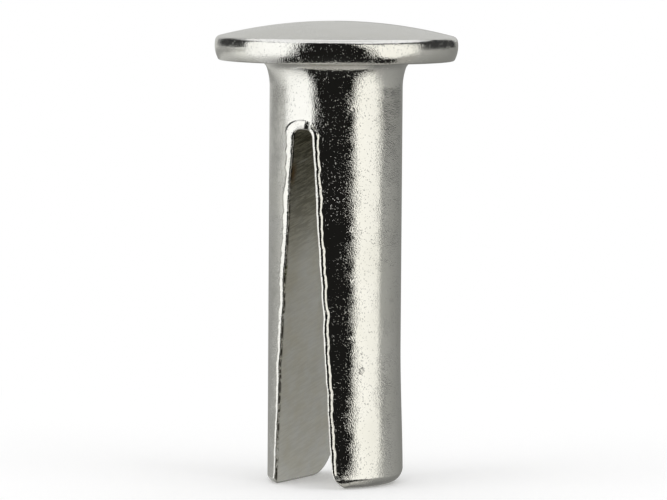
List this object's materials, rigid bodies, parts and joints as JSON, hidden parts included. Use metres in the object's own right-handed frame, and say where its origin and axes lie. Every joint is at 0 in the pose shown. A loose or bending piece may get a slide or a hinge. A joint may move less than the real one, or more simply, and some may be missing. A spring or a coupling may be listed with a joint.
{
  "type": "split rivet",
  "caption": "Metal rivet with a shallow domed head and a shank slit into two legs that spread to clinch leather, card or sheet.",
  "frame": {"origin": "on the shank's axis, in the plane of the head's underside", "axes": "+Z along the axis from the leg tips towards the head, Y through the slot from side to side, X from leg to leg"},
  "size_m": [0.0092, 0.0092, 0.0174],
  "materials": {
    "rivet": "bright nickel plate, near mirror, with a fine orange peel and duller faces inside the slot"
  },
  "bodies": {
    "root": {"rivet": "rivet"}
  },
  "joints": []
}
